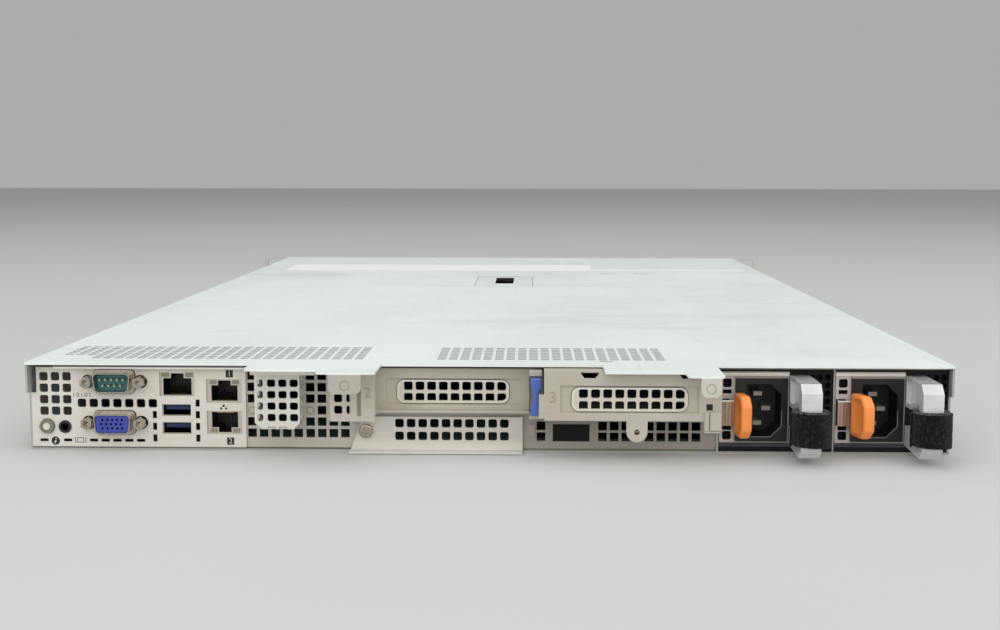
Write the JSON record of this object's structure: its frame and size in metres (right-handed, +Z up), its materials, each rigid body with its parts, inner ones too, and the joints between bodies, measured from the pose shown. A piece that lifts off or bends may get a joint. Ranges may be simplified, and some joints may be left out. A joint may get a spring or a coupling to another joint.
{
  "type": "rack server",
  "caption": "One-unit rack server with a perforated top cover, rear ports and risers, sliding power supplies with handles, and front drive carriers.",
  "frame": {"origin": "centre of the chassis underside", "axes": "+X to the right as seen from behind, +Y from the rear to the front, +Z up"},
  "size_m": [0.482, 0.771, 0.0428],
  "materials": {
    "zinc_sheet": "galvanised sheet with a faint greenish cast",
    "warm_sheet": "plated sheet, warm grey",
    "nickel": "nickel-plated connector shells and posts",
    "connector_plastic": "moulded connector insulators",
    "black_plastic": "black moulded plastic",
    "grey_plastic": "grey moulded plastic",
    "blue_plastic": "blue moulded plastic",
    "orange_plastic": "orange moulded plastic",
    "clear_plastic": "clear moulded plastic",
    "webbing": "black hook-and-loop webbing",
    "power_case": "sheet-metal power supply case",
    "spring_steel": "spring strip",
    "circuit_board": "glass-fibre circuit board with black sockets",
    "heatsink": "extruded aluminium fins",
    "drive": "drive and its carrier"
  },
  "bodies": {
    "chassis": {"chassis_tray": "zinc_sheet", "io_panel": "warm_sheet", "rear_wall": "warm_sheet", "vent_box": "warm_sheet", "serial_shell": "nickel", "serial_insert": "connector_plastic", "vga_shell": "nickel", "vga_insert": "connector_plastic", "port_jackposts": "nickel", "network_jacks": "black_plastic", "usb_ports": "nickel", "usb_tongues": "blue_plastic", "id_jack": "black_plastic", "riser_two_cage": "warm_sheet", "slot_two_filler": "warm_sheet", "riser_three_cage": "warm_sheet", "slot_three_filler": "warm_sheet", "riser_cards": "circuit_board", "lower_panel": "warm_sheet", "panel_screw": "nickel", "psu_cage": "zinc_sheet", "left_ear": "black_plastic", "right_ear": "black_plastic", "drive_cage": "zinc_sheet", "backplane": "circuit_board", "motherboard": "circuit_board", "memory_modules": "circuit_board", "heatsinks": "heatsink", "fan_housings": "black_plastic"},
    "cover": {"top_cover": "zinc_sheet"},
    "cover_lever": {"cover_latch": "grey_plastic"},
    "slot_lever": {"slot_latch": "blue_plastic"},
    "rear_button": {"id_button": "grey_plastic"},
    "front_button": {"power_button": "grey_plastic"},
    "psu_1": {"psu_case_1": "power_case", "psu_inlet_1": "black_plastic", "psu_handle_1": "clear_plastic", "psu_strap_1": "webbing"},
    "psu_1_latch": {"psu_latch_1": "orange_plastic", "psu_spring_1": "spring_steel"},
    "psu_2": {"psu_case_2": "power_case", "psu_inlet_2": "black_plastic", "psu_handle_2": "clear_plastic", "psu_strap_2": "webbing"},
    "psu_2_latch": {"psu_latch_2": "orange_plastic", "psu_spring_2": "spring_steel"},
    "drive_1": {"drive_carrier_1": "drive"},
    "drive_1_lever": {"drive_lever_1": "black_plastic"},
    "drive_2": {"drive_carrier_2": "drive"},
    "drive_2_lever": {"drive_lever_2": "black_plastic"},
    "drive_3": {"drive_carrier_3": "drive"},
    "drive_3_lever": {"drive_lever_3": "black_plastic"},
    "drive_4": {"drive_carrier_4": "drive"},
    "drive_4_lever": {"drive_lever_4": "black_plastic"},
    "fan_1": {"fan_rotor_1": "black_plastic"},
    "fan_2": {"fan_rotor_2": "black_plastic"},
    "fan_3": {"fan_rotor_3": "black_plastic"},
    "fan_4": {"fan_rotor_4": "black_plastic"},
    "fan_5": {"fan_rotor_5": "black_plastic"},
    "fan_6": {"fan_rotor_6": "black_plastic"}
  },
  "joints": [
    {"name": "cover_lift", "type": "slide", "parent": "chassis", "child": "cover", "axis": [0, 0, 1], "range_m": [0, 0.1]},
    {"name": "cover_lever_swing", "type": "hinge", "parent": "cover", "child": "cover_lever", "pos_m": [0, 0.1346, 0.0411], "axis": [-1, 0, 0], "range_deg": [0, 80]},
    {"name": "slot_lever_swing", "type": "hinge", "parent": "chassis", "child": "slot_lever", "pos_m": [0.0224, -0.3628, 0.028], "axis": [0, 0, -1], "range_deg": [0, 60]},
    {"name": "rear_button_press", "type": "slide", "parent": "chassis", "child": "rear_button", "axis": [0, 1, 0], "range_m": [0, 0.001], "stiffness_N_per_m": 300},
    {"name": "front_button_press", "type": "slide", "parent": "chassis", "child": "front_button", "axis": [0, -1, 0], "range_m": [0, 0.001], "stiffness_N_per_m": 300},
    {"name": "psu_1_slide", "type": "slide", "parent": "chassis", "child": "psu_1", "axis": [0, -1, 0], "range_m": [0, 0.19]},
    {"name": "psu_1_latch_bend", "type": "hinge", "parent": "psu_1", "child": "psu_1_latch", "pos_m": [0.1104, -0.328, 0.0199], "axis": [0, 0, 1], "range_deg": [0, 3], "stiffness_Nm_per_rad": 2},
    {"name": "psu_2_slide", "type": "slide", "parent": "chassis", "child": "psu_2", "axis": [0, -1, 0], "range_m": [0, 0.19]},
    {"name": "psu_2_latch_bend", "type": "hinge", "parent": "psu_2", "child": "psu_2_latch", "pos_m": [0.1644, -0.328, 0.0199], "axis": [0, 0, 1], "range_deg": [0, 3], "stiffness_Nm_per_rad": 2},
    {"name": "drive_1_slide", "type": "slide", "parent": "chassis", "child": "drive_1", "axis": [0, 1, 0], "range_m": [0, 0.15]},
    {"name": "drive_1_lever_swing", "type": "hinge", "parent": "drive_1", "child": "drive_1_lever", "pos_m": [-0.2035, 0.3738, 0.0158], "axis": [0, 0, 1], "range_deg": [0, 65]},
    {"name": "drive_2_slide", "type": "slide", "parent": "chassis", "child": "drive_2", "axis": [0, 1, 0], "range_m": [0, 0.15]},
    {"name": "drive_2_lever_swing", "type": "hinge", "parent": "drive_2", "child": "drive_2_lever", "pos_m": [-0.0955, 0.3738, 0.0158], "axis": [0, 0, 1], "range_deg": [0, 65]},
    {"name": "drive_3_slide", "type": "slide", "parent": "chassis", "child": "drive_3", "axis": [0, 1, 0], "range_m": [0, 0.15]},
    {"name": "drive_3_lever_swing", "type": "hinge", "parent": "drive_3", "child": "drive_3_lever", "pos_m": [0.0125, 0.3738, 0.0158], "axis": [0, 0, 1], "range_deg": [0, 65]},
    {"name": "drive_4_slide", "type": "slide", "parent": "chassis", "child": "drive_4", "axis": [0, 1, 0], "range_m": [0, 0.15]},
    {"name": "drive_4_lever_swing", "type": "hinge", "parent": "drive_4", "child": "drive_4_lever", "pos_m": [0.1205, 0.3738, 0.0158], "axis": [0, 0, 1], "range_deg": [0, 65]},
    {"name": "fan_1_spin", "type": "hinge", "parent": "chassis", "child": "fan_1", "pos_m": [-0.165, 0.16, 0.02], "axis": [0, 1, 0], "continuous": true},
    {"name": "fan_2_spin", "type": "hinge", "parent": "chassis", "child": "fan_2", "pos_m": [-0.099, 0.16, 0.02], "axis": [0, 1, 0], "continuous": true},
    {"name": "fan_3_spin", "type": "hinge", "parent": "chassis", "child": "fan_3", "pos_m": [-0.033, 0.16, 0.02], "axis": [0, 1, 0], "continuous": true},
    {"name": "fan_4_spin", "type": "hinge", "parent": "chassis", "child": "fan_4", "pos_m": [0.033, 0.16, 0.02], "axis": [0, 1, 0], "continuous": true},
    {"name": "fan_5_spin", "type": "hinge", "parent": "chassis", "child": "fan_5", "pos_m": [0.099, 0.16, 0.02], "axis": [0, 1, 0], "continuous": true},
    {"name": "fan_6_spin", "type": "hinge", "parent": "chassis", "child": "fan_6", "pos_m": [0.165, 0.16, 0.02], "axis": [0, 1, 0], "continuous": true}
  ]
}
